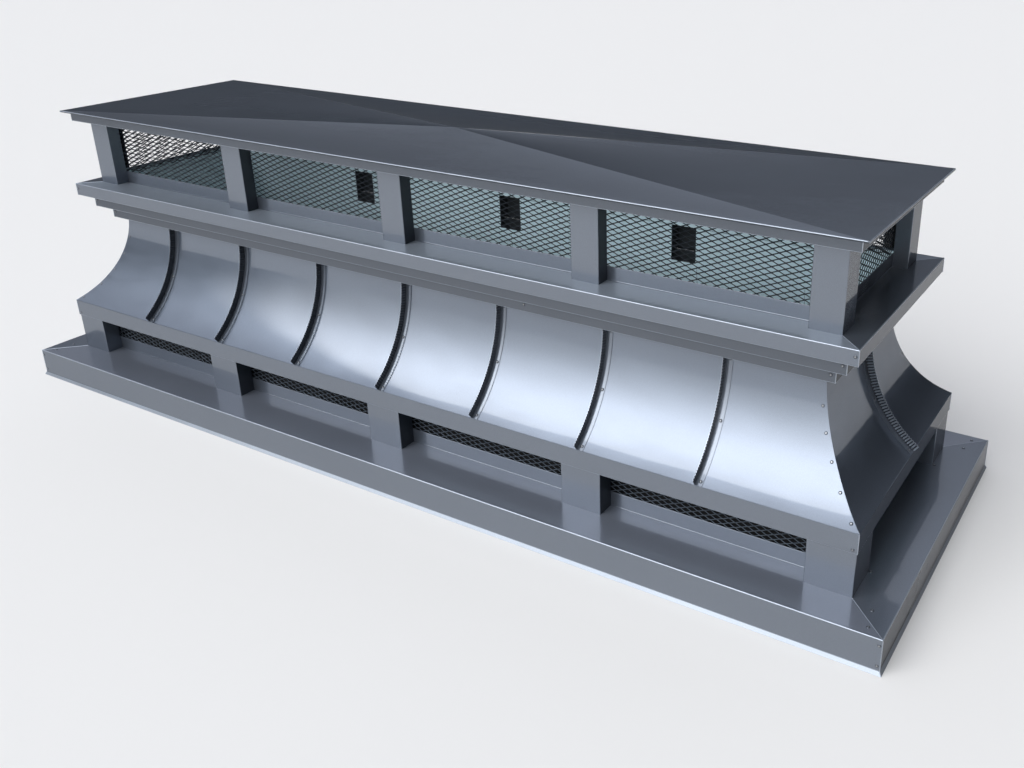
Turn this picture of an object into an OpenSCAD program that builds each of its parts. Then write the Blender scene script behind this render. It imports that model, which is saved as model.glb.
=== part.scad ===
// Rectangular sheet-metal chimney shroud, millimetres.
// X runs along the long side, the front is at -Y, Z is up.
// The origin is the middle of the footprint at the bottom of the drip hem.
// Each level is a ring of four mitred pieces, set back from the plane of the base skirt.

/* [Overall] */
// Length over the base skirt
base_l = 2740; // [2200:10:3400]
// Depth over the base skirt
base_w = 914; // [760:2:1400]
// Thickness of the formed sheet
sheet_t = 1.5; // [1:0.1:2.5]
// Gap left between pieces that are screwed or riveted together
fit_gap = 0.3; // [0.1:0.1:0.5]

/* [Base pan] */
// Height of the base skirt from the hem to the flat top
skirt_h = 85; // [60:1:140]
// Height of the kicked-out drip hem
hem_h = 10; // [6:1:16]
// How far the drip hem stands out
hem_out = 6; // [3:1:10]
// Set-back of the lower curb from the skirt
lower_curb_in = 143; // [120:1:170]
// Height of the lower curb above the pan
lower_curb_h = 38; // [25:1:50]

/* [Lower vent band] */
// Width of a lower post
lower_post_w = 108; // [70:1:150]
// Depth of a lower post, from its face to the curb
lower_post_d = 48; // [35:1:60]
// Clear height from the pan to the bottom of the skirt fascia
lower_vent_h = 109; // [80:1:160]
// Number of lower bays on a long side
lower_bays = 4; // [3:1:5]

/* [Skirt fascia and flared roof] */
// Height of the fascia under the flared panels
fascia_h = 49; // [35:1:70]
// Rise of the flared panels
flare_h = 260; // [200:5:320]
// Radius of the hollow curve of the flared panels
flare_r = 337; // [300:1:420]
// How far the flared panels spread from top to bottom
flare_out = 140; // [110:1:170]
// Number of flared panels on a long side
long_panels = 8; // [6:1:10]
// Width of one flared panel, from seam to seam
panel_w = 304.8; // [240:0.1:330]
// Height of the crimped leg of a seam rib
rib_h = 19; // [10:1:28]
// Width of the flat flange of a seam rib
rib_flange = 19; // [12:1:30]
// Distance from the standing leg of a rib to the seam that its flange covers
rib_lead = 6; // [3:1:9]
// Gap between neighbouring flared panels under a rib
seam_gap = 2; // [0.5:0.5:4]
// How far the seam of an end lies to one side of the middle
end_seam = 9; // [0:1:30]

/* [Stepped cornice] */
// Height of each small step
step_h = 38; // [25:1:50]
// How far the lower step stands out from the head of the flared panels
lower_step_out = 28; // [20:1:35]
// How far the upper step, and then the tray, stand out from the step below
step_out = 31; // [20:1:38]
// Height of the tray fascia
tray_h = 36; // [25:1:50]
// Height of the upper curb above the tray
upper_curb_h = 34; // [20:1:45]
// Height of the notches in the inner wall below the tray, at the posts
notch_h = 94; // [80:1:100]

/* [Upper vent band] */
// Width of an upper post
upper_post_w = 73; // [50:1:100]
// Depth of an upper post, from its face to the curb
upper_post_d = 37; // [25:1:45]
// Height of the upper posts above the tray
upper_post_h = 188; // [140:1:240]
// Number of upper bays on a long side
upper_bays = 4; // [3:1:5]
// Thickness of the expanded-metal screens
screen_t = 2; // [1.5:0.5:4]

/* [Top] */
// How far the top rail stands out from the upper screens
rail_out = 71; // [55:1:80]
// Height of the top rail
rail_h = 30; // [18:1:50]
// Width of the soffit at the foot of the rail
rail_soffit = 72; // [60:1:74]
// How far the roof hangs out past the rail
roof_over = 20; // [12:1:30]
// Height of the folded lip at the roof's edge
roof_lip = 4; // [3:1:12]
// Rise of the roof from its edge to its peak
roof_rise = 24; // [15:1:80]

/* [Hidden] */
$fn = 128;

PAINT = "#6a727b";
SCREEN = "#15181b";

// Heights of the levels
pan_z = skirt_h;
fascia_z = pan_z + lower_vent_h;
flare_z = fascia_z + fascia_h;
step1_z = flare_z + flare_h;
step2_z = step1_z + step_h;
tray_base_z = step2_z + step_h;
tray_z = tray_base_z + tray_h;
curb_z = tray_z + upper_curb_h;
rail_z = tray_z + upper_post_h;
roof_z = rail_z + rail_h;

// Set-backs from the skirt plane
lower_post_in = lower_curb_in - lower_post_d - fit_gap;
fascia_in = lower_post_in - fit_gap - sheet_t;
upper_in = fascia_in + flare_out;
step1_in = upper_in - lower_step_out;
step2_in = step1_in - step_out;
tray_in = step2_in - step_out;
upper_post_in = upper_in - upper_post_d;
rail_in = upper_in - rail_out;
roof_in = rail_in - roof_over;

// The hollow curve: its chord gives the centre of the circle
flare_chord = sqrt(flare_out * flare_out + flare_h * flare_h);
flare_reach = sqrt(flare_r * flare_r - flare_chord * flare_chord / 4);
flare_centre_in = fascia_in + flare_out / 2 - flare_reach * flare_h / flare_chord;
flare_centre_z = flare_z + flare_h / 2 + flare_reach * flare_out / flare_chord;

// Plan depth that every ring fits in, and a length beyond any piece
ring_depth = base_w / 2 - 10;
far = base_l + base_w;
ENDS = ["left", "right"];

function side_turn(side) = side == "front" ? 0 : side == "right" ? 90 : side == "back" ? 180 : 270;
function side_long(side) = side == "front" || side == "back";
function side_length(side) = side_long(side) ? base_l : base_w;
function side_reach(side) = (side_long(side) ? base_w : base_l) / 2;

// Children are drawn with +X along the side and -Y outward, y = 0 on the skirt plane
module on_side(side) {
    rotate([0, 0, side_turn(side)])
        translate([0, -side_reach(side), 0])
            children();
}

// The wedge of plan, between the two corner mitres, that belongs to one side
module mitre_wedge(side) {
    half = side_length(side) / 2;
    translate([0, 0, -1])
        linear_extrude(roof_z + roof_rise)
            polygon([[-half - hem_out, -hem_out], [half + hem_out, -hem_out],
                     [half - ring_depth, ring_depth], [ring_depth - half, ring_depth]]);
}

// A formed strip: its outline is in set-back and height, swept along one side
module formed_strip(side) {
    on_side(side)
        intersection() {
            rotate([90, 0, 90])
                translate([0, 0, -side_length(side)])
                    linear_extrude(2 * side_length(side))
                        children();
            mitre_wedge(side);
        }
}

// Places children at each post between the corners of a side
module at_mid_posts(side, bays, pitch) {
    on_side(side)
        for (i = [1 : bays - 1])
            translate([(i - bays / 2) * pitch, 0, 0])
                children();
}

// ---------------------------------------------------------------- base pan

module base_pan_outline() {
    // drip hem, kicked out at the foot
    polygon([[-hem_out, 0], [-hem_out + sheet_t, 0], [sheet_t, hem_h - sheet_t / 2],
             [sheet_t, hem_h], [0, hem_h]]);
    // skirt, flat top and inner curb
    translate([0, hem_h])
        square([sheet_t, skirt_h - hem_h]);
    translate([0, skirt_h - sheet_t])
        square([lower_curb_in + sheet_t, sheet_t]);
    translate([lower_curb_in, skirt_h - sheet_t])
        square([sheet_t, lower_curb_h + sheet_t]);
}

module base_pan(side) {
    color(PAINT)
        formed_strip(side)
            base_pan_outline();
}

module base_pan_front() { base_pan("front"); }
module base_pan_back() { base_pan("back"); }
module base_pan_left() { base_pan("left"); }
module base_pan_right() { base_pan("right"); }

// ------------------------------------------------------------------- posts

// Channel with its open side inward: web on the set-back y = 0, flanges running in
module channel_post(width, depth, height) {
    difference() {
        translate([-width / 2, 0, 0])
            cube([width, depth, height]);
        translate([-width / 2 + sheet_t, sheet_t, -1])
            cube([width - 2 * sheet_t, depth, height + 2]);
    }
}

// Corner post: a square corner cover with a flange down each inner edge
module corner_post(width, depth, height) {
    difference() {
        cube([width, width, height]);
        translate([sheet_t, sheet_t, -1])
            cube([width - 2 * sheet_t, width - 2 * sheet_t, height + 2]);
        translate([depth, depth, -1])
            cube([width, width, height + 2]);
    }
}

module at_corners(inset, z) {
    x = base_l / 2 - inset;
    y = base_w / 2 - inset;
    for (mx = [0, 1])
        for (my = [0, 1])
            mirror([mx, 0, 0])
                mirror([0, my, 0])
                    translate([-x, -y, z])
                        children();
}

lower_post_h = flare_z - pan_z - sheet_t - fit_gap;
lower_pitch = (base_l - 2 * lower_post_in - lower_post_w) / lower_bays;
upper_pitch = (base_l - 2 * upper_post_in - upper_post_w) / upper_bays;
// Upper posts run down through the tray to the return at the foot of the upper step
upper_foot_z = step2_z + sheet_t + fit_gap;
upper_top_z = rail_z - fit_gap;

module lower_corner_posts() {
    color(PAINT)
        at_corners(lower_post_in, pan_z)
            corner_post(lower_post_w, lower_post_d, lower_post_h);
}

module lower_posts(side) {
    color(PAINT)
        at_mid_posts(side, lower_bays, lower_pitch)
            translate([0, lower_post_in, pan_z])
                channel_post(lower_post_w, lower_post_d, lower_post_h);
}

module lower_posts_front() { lower_posts("front"); }
module lower_posts_back() { lower_posts("back"); }

module upper_corner_posts() {
    color(PAINT)
        at_corners(upper_post_in, upper_foot_z)
            corner_post(upper_post_w, upper_post_d, upper_top_z - upper_foot_z);
}

module upper_posts(side) {
    color(PAINT)
        at_mid_posts(side, upper_bays, upper_pitch)
            translate([0, upper_post_in, upper_foot_z])
                channel_post(upper_post_w, upper_post_d, upper_top_z - upper_foot_z);
}

module upper_posts_front() { upper_posts("front"); }
module upper_posts_back() { upper_posts("back"); }

// ----------------------------------------------------------------- screens

// A flat screen behind a curb, across the whole of one side
module screen(side, inset, z0, z1) {
    color(SCREEN)
        on_side(side) {
            half = side_length(side) / 2 - inset - screen_t - fit_gap;
            translate([-half, inset, z0])
                cube([2 * half, screen_t, z1 - z0]);
        }
}

lower_screen_in = lower_curb_in + sheet_t + fit_gap;
upper_screen_in = upper_in + sheet_t + fit_gap;

module lower_screen(side) {
    screen(side, lower_screen_in, pan_z + fit_gap, flare_z);
}

module lower_screen_front() { lower_screen("front"); }
module lower_screen_back() { lower_screen("back"); }
module lower_screens_ends() {
    for (side = ENDS)
        lower_screen(side);
}

module upper_screen(side) {
    screen(side, upper_screen_in, tray_z - upper_curb_h / 2, roof_z - 2 * sheet_t);
}

module upper_screen_front() { upper_screen("front"); }
module upper_screen_back() { upper_screen("back"); }
module upper_screens_ends() {
    for (side = ENDS)
        upper_screen(side);
}

// ----------------------------------------------- fascia and flared panels

module skirt_fascia(side) {
    color(PAINT)
        formed_strip(side)
            translate([fascia_in, fascia_z])
                square([sheet_t, fascia_h - fit_gap]);
}

module skirt_fascia_front() { skirt_fascia("front"); }
module skirt_fascia_back() { skirt_fascia("back"); }
module skirt_fascia_left() { skirt_fascia("left"); }
module skirt_fascia_right() { skirt_fascia("right"); }

// Outline of a curved sheet that lies from one radius to another
module flare_arc(r0, r1) {
    intersection() {
        translate([flare_centre_in, flare_centre_z])
            difference() {
                circle(r = r1);
                circle(r = r0);
            }
        translate([fascia_in, flare_z])
            square([flare_out + 4 * sheet_t, flare_h]);
    }
}

function panel_count(side) = side_long(side) ? long_panels : 2;
function seam_x(side, i) = side_long(side) ? (i - panel_count(side) / 2) * panel_w : end_seam;

module flared_panels(side) {
    n = panel_count(side);
    color(PAINT)
        intersection() {
            formed_strip(side)
                flare_arc(flare_r, flare_r + sheet_t);
            on_side(side)
                for (i = [0 : n - 1]) {
                    x0 = i == 0 ? -far : seam_x(side, i) + seam_gap / 2;
                    x1 = i == n - 1 ? far : seam_x(side, i + 1) - seam_gap / 2;
                    translate([x0, -1, flare_z - 1])
                        cube([x1 - x0, fascia_in + 2 * flare_out, flare_h + 2]);
                }
        }
}

module flared_panels_front() { flared_panels("front"); }
module flared_panels_back() { flared_panels("back"); }
module flared_panels_left() { flared_panels("left"); }
module flared_panels_right() { flared_panels("right"); }

// Seam rib: a bent angle, its leg standing beside the seam and its flange over it.
// The flange runs to the right on a long side and to the left on an end.
module seam_ribs(side) {
    n = panel_count(side);
    way = side_long(side) ? 1 : -1;
    color(PAINT)
        on_side(side)
            for (i = [1 : n - 1])
                translate([seam_x(side, i) - way * rib_lead, 0, 0])
                    rotate([90, 0, 90]) {
                        translate([0, 0, way > 0 ? -sheet_t : 0])
                            linear_extrude(sheet_t)
                                rib_arc(flare_r - rib_h);
                        translate([0, 0, way > 0 ? 0 : -rib_flange])
                            linear_extrude(rib_flange)
                                rib_arc(flare_r - sheet_t);
                    }
}

// The part of a ring on the curve from its foot, cut square, to its head, cut level
module rib_arc(r0) {
    dx = fascia_in - flare_centre_in;
    dz = flare_z - flare_centre_z;
    intersection() {
        translate([flare_centre_in, flare_centre_z]) {
            difference() {
                circle(r = flare_r - fit_gap);
                circle(r = r0);
            }
        }
        translate([flare_centre_in, flare_centre_z])
            polygon([[0, 0], [2 * dx, 2 * dz], [2 * flare_r, 2 * dz], [2 * flare_r, 0]]);
        translate([0, flare_z])
            square([upper_in + sheet_t, flare_h - sheet_t]);
    }
}

module seam_ribs_front() { seam_ribs("front"); }
module seam_ribs_back() { seam_ribs("back"); }
module seam_ribs_ends() {
    for (side = ENDS)
        seam_ribs(side);
}

// ---------------------------------------------------------- stepped cornice

// A folded angle: upright face with a return running in along its foot
module step_outline(inset, z, height, reach) {
    translate([inset, z])
        square([sheet_t, height - fit_gap]);
    translate([inset, z])
        square([reach, sheet_t]);
}

module lower_step(side) {
    color(PAINT)
        formed_strip(side)
            step_outline(step1_in, step1_z, step_h, lower_step_out);
}

module lower_step_front() { lower_step("front"); }
module lower_step_back() { lower_step("back"); }
module lower_step_ends() {
    for (side = ENDS)
        lower_step(side);
}

module upper_step(side) {
    color(PAINT)
        formed_strip(side)
            step_outline(step2_in, step2_z, step_h, step_out + sheet_t);
}

module upper_step_front() { upper_step("front"); }
module upper_step_back() { upper_step("back"); }
module upper_step_ends() {
    for (side = ENDS)
        upper_step(side);
}

// --------------------------------------------------------------- upper tray

module upper_tray_outline() {
    // fascia with its return to the upper step
    step_outline(tray_in, tray_base_z, tray_h + fit_gap, step_out + sheet_t);
    // flat top
    translate([tray_in, tray_z - sheet_t])
        square([upper_in - tray_in, sheet_t]);
    // inner wall, standing up as the curb
    translate([upper_in, step1_z + fit_gap])
        square([sheet_t, curb_z - step1_z - fit_gap]);
}

// Slots that let the upper posts run down through the tray and the inner wall
module post_slots(side) {
    wide = upper_post_w + 2 * fit_gap;
    deep = upper_post_d + fit_gap;
    at_mid_posts(side, upper_bays, upper_pitch) {
        translate([-wide / 2, upper_post_in - fit_gap, tray_z - 2 * sheet_t])
            cube([wide, deep, 3 * sheet_t]);
        translate([-wide / 2, upper_in - 1, tray_z - notch_h])
            cube([wide, sheet_t + 2, notch_h]);
    }
}

module corner_slots() {
    wide = upper_post_w + 2 * fit_gap;
    at_corners(upper_post_in - fit_gap, tray_z - 2 * sheet_t)
        difference() {
            cube([wide, wide, 3 * sheet_t]);
            translate([upper_post_d + fit_gap, upper_post_d + fit_gap, -1])
                cube([wide, wide, 3 * sheet_t + 2]);
        }
}

module upper_tray(side) {
    color(PAINT)
        difference() {
            formed_strip(side)
                upper_tray_outline();
            if (side_long(side))
                post_slots(side);
            corner_slots();
        }
}

module upper_tray_front() { upper_tray("front"); }
module upper_tray_back() { upper_tray("back"); }
module upper_tray_left() { upper_tray("left"); }
module upper_tray_right() { upper_tray("right"); }

// ---------------------------------------------------------------- top rail

// Space under the two slopes that face along one side's length
module under_slopes(side) {
    half = side_length(side) / 2 - roof_in;
    eave = roof_z - fit_gap;
    rotate([90, 0, side_turn(side)])
        translate([0, 0, -far])
            linear_extrude(2 * far)
                polygon([[-half, 0], [half, 0], [half, eave], [0, eave + roof_rise], [-half, eave]]);
}

// The rail stands up to the underside of the sloping roof
module top_rail(side) {
    color(PAINT)
        intersection() {
            formed_strip(side)
                step_outline(rail_in, rail_z, rail_h + roof_rise, rail_soffit);
            under_slopes("front");
            under_slopes("right");
        }
}

module top_rail_front() { top_rail("front"); }
module top_rail_back() { top_rail("back"); }
module top_rail_left() { top_rail("left"); }
module top_rail_right() { top_rail("right"); }

// -------------------------------------------------------------------- roof

// One slope: a folded lip at the eave and a plate rising to the peak, cut to its triangle of plan
module roof_panel(side) {
    half = side_length(side) / 2 - roof_in;
    run = side_reach(side) - roof_in;
    lip_rise = sheet_t * roof_rise / run;
    color(PAINT)
        on_side(side)
            intersection() {
                rotate([90, 0, 90])
                    translate([0, 0, -half])
                        linear_extrude(2 * half)
                            polygon([[roof_in, roof_z - roof_lip],
                                     [roof_in + sheet_t, roof_z - roof_lip],
                                     [roof_in + sheet_t, roof_z + lip_rise],
                                     [roof_in + run, roof_z + roof_rise],
                                     [roof_in + run, roof_z + roof_rise + sheet_t],
                                     [roof_in, roof_z + sheet_t]]);
                linear_extrude(roof_z + 2 * roof_rise)
                    polygon([[-half, roof_in], [half, roof_in], [0, roof_in + run]]);
            }
}

module roof_panel_front() { roof_panel("front"); }
module roof_panel_back() { roof_panel("back"); }
module roof_panel_left() { roof_panel("left"); }
module roof_panel_right() { roof_panel("right"); }

base_pan_front();
base_pan_back();
base_pan_left();
base_pan_right();
lower_corner_posts();
lower_posts_front();
lower_posts_back();
lower_screen_front();
lower_screen_back();
lower_screens_ends();
skirt_fascia_front();
skirt_fascia_back();
skirt_fascia_left();
skirt_fascia_right();
flared_panels_front();
flared_panels_back();
flared_panels_left();
flared_panels_right();
seam_ribs_front();
seam_ribs_back();
seam_ribs_ends();
lower_step_front();
lower_step_back();
lower_step_ends();
upper_step_front();
upper_step_back();
upper_step_ends();
upper_tray_front();
upper_tray_back();
upper_tray_left();
upper_tray_right();
upper_corner_posts();
upper_posts_front();
upper_posts_back();
upper_screen_front();
upper_screen_back();
upper_screens_ends();
top_rail_front();
top_rail_back();
top_rail_left();
top_rail_right();
roof_panel_front();
roof_panel_back();
roof_panel_left();
roof_panel_right();
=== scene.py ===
import math

import bmesh
import bpy
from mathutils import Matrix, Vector


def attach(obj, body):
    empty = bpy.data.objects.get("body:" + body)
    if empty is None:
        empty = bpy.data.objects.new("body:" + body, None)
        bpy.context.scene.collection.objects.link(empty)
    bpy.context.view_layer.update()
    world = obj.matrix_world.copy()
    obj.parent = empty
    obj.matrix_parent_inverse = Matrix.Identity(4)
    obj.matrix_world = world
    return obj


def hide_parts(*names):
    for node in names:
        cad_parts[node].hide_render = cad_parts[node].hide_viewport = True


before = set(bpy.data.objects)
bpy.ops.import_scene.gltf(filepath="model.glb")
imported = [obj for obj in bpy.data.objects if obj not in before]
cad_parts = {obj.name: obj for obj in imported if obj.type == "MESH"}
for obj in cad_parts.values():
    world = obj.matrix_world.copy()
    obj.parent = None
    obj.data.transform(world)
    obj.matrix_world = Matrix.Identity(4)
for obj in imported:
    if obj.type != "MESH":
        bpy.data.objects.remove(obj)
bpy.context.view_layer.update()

# Studio: the camera, a pale floor, and a dim room lit by one broad soft box
# that stands along the front, reaches well to the left and grows brighter
# towards its straight upper edge.
scene = bpy.context.scene
scene.view_settings.view_transform = "Standard"

CAMERA_PLACE = (1.7397, -2.0663, 1.4158)
CAMERA_AZIMUTH = 30.15
CAMERA_TILT = 66.87
CAMERA_SENSOR = 36
CAMERA_LENS = 35.706
CAMERA_SHIFT = (-0.1170, -0.0530)
CAMERA_REACH = 200


def set_up(name, data):
    """A new object in the scene."""
    made = bpy.data.objects.new(name, data)
    scene.collection.objects.link(made)
    return made


camera_data = bpy.data.cameras.new("camera")
camera_data.sensor_width = CAMERA_SENSOR
camera_data.lens = CAMERA_LENS
camera_data.shift_x, camera_data.shift_y = CAMERA_SHIFT
camera_data.clip_end = CAMERA_REACH
camera = set_up("camera", camera_data)
camera.location = CAMERA_PLACE
camera.rotation_euler = (math.radians(CAMERA_TILT), 0, math.radians(CAMERA_AZIMUTH))
scene.camera = camera


def place(tree, kind, sockets=None, **settings):
    """Adds a node; a socket's value is a plain value or another node's output."""
    made = tree.nodes.new(kind)
    for name, value in settings.items():
        setattr(made, name, value)
    for name, value in (sockets or {}).items():
        if isinstance(value, bpy.types.NodeSocket):
            tree.links.new(value, made.inputs[name])
        else:
            made.inputs[name].default_value = value
    return made


def given_by(tree, kind, sockets=None, **settings):
    """The first output of a node that is added."""
    return place(tree, kind, sockets, **settings).outputs[0]


def maker(tree, family):
    """A function that adds a node of a family to the tree and gives its first output."""
    def add(kind, sockets=None, **settings):
        return given_by(tree, family + kind, sockets, **settings)
    return add


def calculator(tree):
    """A function that adds a Math node to the tree and gives its output."""
    def calc(operation, *terms):
        return given_by(tree, "ShaderNodeMath", dict(enumerate(terms)), operation=operation)
    return calc


def between(tree, factor, a, b):
    """A colour between two others."""
    return place(tree, "ShaderNodeMix", {"Factor": factor, "A": a, "B": b},
                 data_type="RGBA").outputs["Result"]


def direction(azimuth, elevation):
    """Unit vector towards a light; azimuth 0 is the front and grows to the right."""
    a, e = math.radians(azimuth), math.radians(elevation)
    return (math.sin(a) * math.cos(e), -math.cos(a) * math.cos(e), math.sin(e))


UP = (0, 0, 1)
SOFT_BOX_FACING = direction(-6, 0)
SOFT_BOX_RIGHT = direction(84, 0)
# the edges are slopes away from the direction the box faces
SOFT_BOX_LEFT_EDGE = 0.82
SOFT_BOX_LEAN = 0.42
SOFT_BOX_RIGHT_EDGE = 0.40
SOFT_BOX_HEAD = 1.96
SOFT_BOX_SIDE_BLUR = 0.10
SOFT_BOX_HEAD_BLUR = 0.03
SOFT_BOX_RISE = (-0.1, 0.9)
SOFT_BOX_TILT = 0.30
SOFT_BOX_TILT_AT = 0.45
SOFT_BOX_FOOT_SHARE = 0.30
SOFT_BOX_LIGHT = 3.8
SOFT_BOX_COLOUR = (0.96, 0.98, 1.0, 1)
SOFT_BOX_ABOVE_SHARE = 0.25
SOFT_BOX_ABOVE = (0.0, 0.35)
BEHIND_BOX = 0.05
ROOM_LOW = (0.035, 0.039, 0.048, 1)
ROOM_HIGH = (0.68, 0.72, 0.82, 1)
ROOM_CLIMB = (0.12, 0.68)
ROOM_RIGHT = direction(95, 5)
ROOM_RIGHT_FADE = (-0.1, 0.7)
ROOM_RIGHT_SHARE = 0.2

room = bpy.data.worlds.new("room")
room.use_nodes = True
scene.world = room
tree = room.node_tree
tree.nodes.clear()
calc = calculator(tree)
look = place(tree, "ShaderNodeTexCoord").outputs["Generated"]


def towards(way):
    """How far a ray looks towards a direction."""
    return place(tree, "ShaderNodeVectorMath", {0: look, 1: way},
                 operation="DOT_PRODUCT").outputs["Value"]


def fade(value, start, end, low=0.0, high=1.0):
    """A smooth change from low to high between two values."""
    return given_by(tree, "ShaderNodeMapRange", {
        "Value": value, "From Min": start, "From Max": end, "To Min": low, "To Max": high},
        interpolation_type="SMOOTHSTEP")


walls = between(tree, fade(towards(UP), *ROOM_CLIMB), ROOM_LOW, ROOM_HIGH)
room_light = fade(towards(ROOM_RIGHT), *ROOM_RIGHT_FADE, 1.0, ROOM_RIGHT_SHARE)
room_glow = given_by(tree, "ShaderNodeBackground", {"Color": walls, "Strength": room_light})
facing_box = calc("MAXIMUM", towards(SOFT_BOX_FACING), BEHIND_BOX)
sideways = calc("DIVIDE", towards(SOFT_BOX_RIGHT), facing_box)
upwards = calc("DIVIDE", towards(UP), facing_box)
leaning = calc("ADD", sideways, calc("MULTIPLY", upwards, SOFT_BOX_LEAN))
tilted = calc("ADD", upwards,
              calc("MULTIPLY", calc("ADD", sideways, SOFT_BOX_TILT_AT), SOFT_BOX_TILT))
box_light = fade(tilted, *SOFT_BOX_RISE, SOFT_BOX_LIGHT * SOFT_BOX_FOOT_SHARE, SOFT_BOX_LIGHT)
above = fade(towards(SOFT_BOX_FACING), *SOFT_BOX_ABOVE, 0.0, SOFT_BOX_ABOVE_SHARE)
for slope, edge, blur, beyond in ((leaning, -SOFT_BOX_LEFT_EDGE, -SOFT_BOX_SIDE_BLUR, 0.0),
                                  (sideways, SOFT_BOX_RIGHT_EDGE, SOFT_BOX_SIDE_BLUR, 0.0),
                                  (upwards, SOFT_BOX_HEAD, SOFT_BOX_HEAD_BLUR, above)):
    box_light = calc("MULTIPLY", fade(slope, edge + blur, edge - blur, beyond), box_light)
box_glow = given_by(tree, "ShaderNodeBackground",
                    {"Color": SOFT_BOX_COLOUR, "Strength": box_light})
both = given_by(tree, "ShaderNodeAddShader", {0: room_glow, 1: box_glow})
place(tree, "ShaderNodeOutputWorld", {"Surface": both})

# a dim strip light lies inside each long side of the upper band, so that the
# pale back coat of the sheets shows through the screens
STRIP_LENGTH = 1.7
STRIP_HEIGHT = 0.08
STRIP_AT = (0.25, 0.195, 0.68)
STRIP_TURN = -80
STRIP_POWER = 1.1
STRIP_COLOUR = (0.95, 0.99, 1.0)
for way in (-1, 1):
    strip_data = bpy.data.lights.new("strip_light", "AREA")
    strip_data.shape = "RECTANGLE"
    strip_data.size, strip_data.size_y = STRIP_LENGTH, STRIP_HEIGHT
    strip_data.energy = STRIP_POWER
    strip_data.color = STRIP_COLOUR
    strip_light = set_up("strip_light", strip_data)
    strip_light.location = (STRIP_AT[0], way * STRIP_AT[1], STRIP_AT[2])
    strip_light.rotation_euler = (math.radians(STRIP_TURN * way), 0, 0)
    strip_light.visible_camera = False
    strip_light.visible_glossy = False


def new_finish(name, values):
    """A new material, its tree and its shader, with values set on the shader's sockets."""
    finish = bpy.data.materials.new(name)
    finish.use_nodes = True
    shader = finish.node_tree.nodes["Principled BSDF"]
    for key, value in values.items():
        shader.inputs[key].default_value = value
    return finish, finish.node_tree, shader


def new_mesh(name, points, faces, materials):
    """A mesh with its materials in the order of their slots."""
    mesh = bpy.data.meshes.new(name)
    mesh.from_pydata(points, [], faces)
    for material in materials:
        mesh.materials.append(material)
    return mesh


SQUARE = ((-1, -1), (1, -1), (1, 1), (-1, 1))
FLOOR_REACH = 60.0
FLOOR_SEEN = (0.78, 0.76, 0.73, 1)
FLOOR_FILL = (0.40, 0.40, 0.40, 1)
FLOOR_GLOW = 0.10
floor_paint, tree, shader = new_finish("floor_paint", {
    "Roughness": 0.9, "Emission Color": (1, 1, 1, 1)})
calc = calculator(tree)
ray = place(tree, "ShaderNodeLightPath").outputs
seen = calc("MAXIMUM", calc("MAXIMUM", ray["Is Camera Ray"], ray["Is Glossy Ray"]),
            ray["Is Transmission Ray"])
tree.links.new(between(tree, seen, FLOOR_FILL, FLOOR_SEEN), shader.inputs["Base Color"])
tree.links.new(calc("MULTIPLY", seen, FLOOR_GLOW), shader.inputs["Emission Strength"])
floor = set_up("floor", new_mesh(
    "floor", [(x * FLOOR_REACH, y * FLOOR_REACH, 0) for x, y in SQUARE], [(0, 1, 2, 3)],
    [floor_paint]))

# a near-black block fills the lower band inside the shroud: painted shade standing in for the
# shade there
SHADE_BLOCK_HALF = (1.200, 0.285)
SHADE_BLOCK_SPAN = (0.002, 0.200)
SHADE_BLOCK_COLOUR = (0.012, 0.012, 0.013, 1)
painted_shade_black = new_finish("painted_shade_black", {"Base Color": SHADE_BLOCK_COLOUR, "Roughness": 1.0})[0]
painted_shade_block = set_up("painted_shade_block", new_mesh(
    "painted_shade_block",
    [(x * SHADE_BLOCK_HALF[0], y * SHADE_BLOCK_HALF[1], z) for z in SHADE_BLOCK_SPAN for x, y in SQUARE],
    [(3, 2, 1, 0), (4, 5, 6, 7), (0, 1, 5, 4), (1, 2, 6, 5), (2, 3, 7, 6), (3, 0, 4, 7)],
    [painted_shade_black]))

# Base pan: four lengths of coil-coated sheet, each brake-formed into a drip
# hem, a skirt, a flat top and a hemmed curb, and mitred at the corners with
# the long pieces lapped over the short ones.
BASE_LENGTH = 2.740
BASE_WIDTH = 0.914
SHEET = 0.0008
BEND = 0.0019
PAN_FOOT = 0.0004
PAN_TOP = 0.085
HEM_TOP = 0.010
HEM_OUT = 0.0054
HEM_BEND = 0.003
SKIRT_LEAN = 0.0004
PAN_MITRE_FOOT = (0.0006, 0.0018)
LOWER_CURB_IN = 0.143
LOWER_CURB_TOP = 0.123
CURB_FOLD = 0.0022
CURB_FOLD_BEND = 0.0010
CURB_HEM = 0.010

COAT_ROUGHNESS = 0.05
COAT_IOR = 2.1
MILLIMETRE = 0.001
# sizes of the patterns in the coating, as features to a metre
DRIFT_SCALE = 2.6
FLAKE_SCALE = 2400.0
SMEAR_SCALE = 4.0
SWELL_SCALE = 5.5
PEEL_SCALE = 420.0
PEEL_HEIGHT = 0.004

SIDES = ("front", "right", "back", "left")
LONG = ("front", "back")
SHORT = ("left", "right")
# the finishes of a piece, by slot; the edge slot holds the painted highlight
FACE, BACK, EDGE, EXTRA = 0, 1, 2, 3


def socket(tree, name, value, way="INPUT", kind=None):
    """Adds a named socket to a group or tree."""
    kind = kind or ("Color" if isinstance(value, tuple) else "Float")
    made = tree.interface.new_socket(name, in_out=way, socket_type="NodeSocket" + kind)
    if value is not None:
        made.default_value = value


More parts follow.
